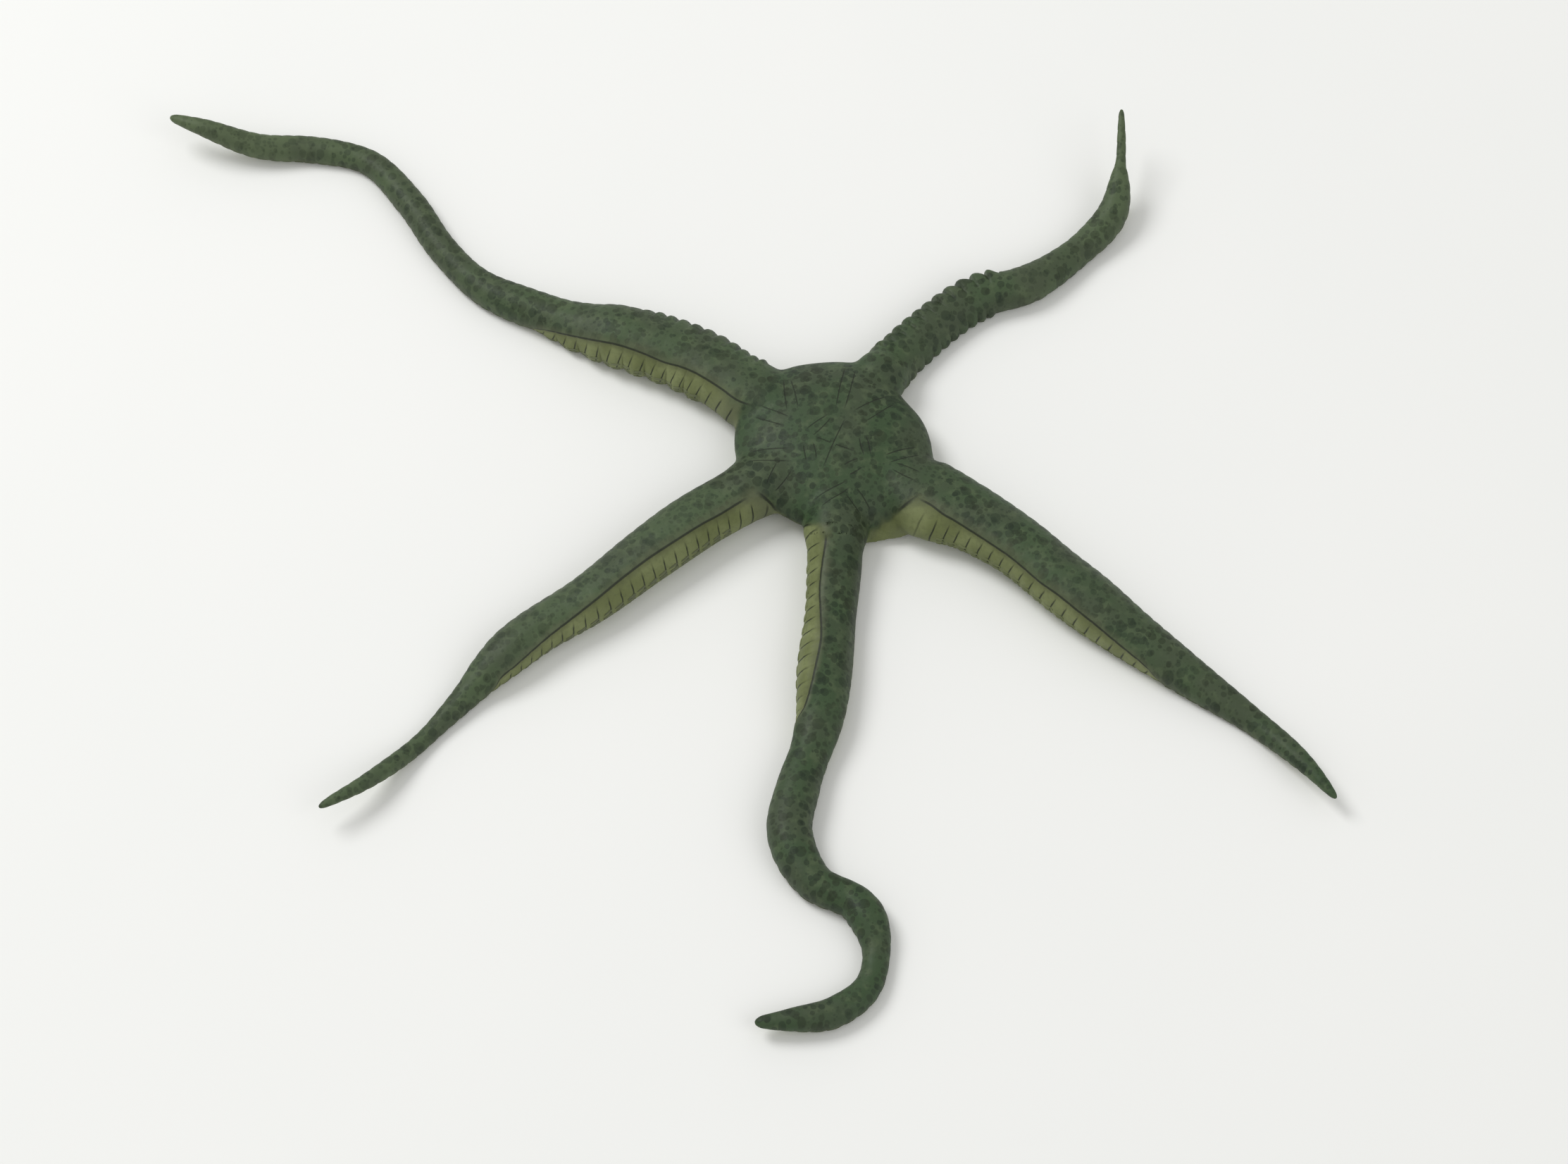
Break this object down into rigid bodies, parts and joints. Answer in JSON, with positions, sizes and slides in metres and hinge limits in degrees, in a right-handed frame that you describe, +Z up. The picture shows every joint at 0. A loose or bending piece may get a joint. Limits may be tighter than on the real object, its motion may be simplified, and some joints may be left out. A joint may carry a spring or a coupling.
{
  "type": "brittle star",
  "caption": "Life-size still model of a smooth-skinned green brittle star at rest, disc low on the floor and long winding arms spread around it.",
  "frame": {"origin": "on the floor, in the middle of the ground that the arms cover", "axes": "+Z up, +Y towards the two far arms, +X to the right of someone who looks along +Y"},
  "size_m": [0.1649, 0.1457, 0.0088],
  "materials": {
    "skin_upper": "smooth damp skin, mottled dark green",
    "skin_under": "smooth damp skin, pale yellow green",
    "jaw": "bare chalky skeleton, cream"
  },
  "bodies": {
    "root": {"disc_top": "skin_upper", "disc_underside": "skin_under", "jaw_1": "jaw", "jaw_2": "jaw", "jaw_3": "jaw", "jaw_4": "jaw", "jaw_5": "jaw", "arm_far_left_base": "skin_upper", "arm_far_left_middle": "skin_upper", "arm_far_left_outer": "skin_upper", "arm_far_left_tip": "skin_upper", "arm_far_right_base": "skin_upper", "arm_far_right_middle": "skin_upper", "arm_far_right_outer": "skin_upper", "arm_far_right_tip": "skin_upper", "arm_near_right_base": "skin_upper", "arm_near_right_middle": "skin_upper", "arm_near_right_outer": "skin_upper", "arm_near_right_tip": "skin_upper", "arm_front_base": "skin_upper", "arm_front_middle": "skin_upper", "arm_front_outer": "skin_upper", "arm_front_tip": "skin_upper", "arm_near_left_base": "skin_upper", "arm_near_left_middle": "skin_upper", "arm_near_left_outer": "skin_upper", "arm_near_left_tip": "skin_upper"}
  },
  "joints": []
}
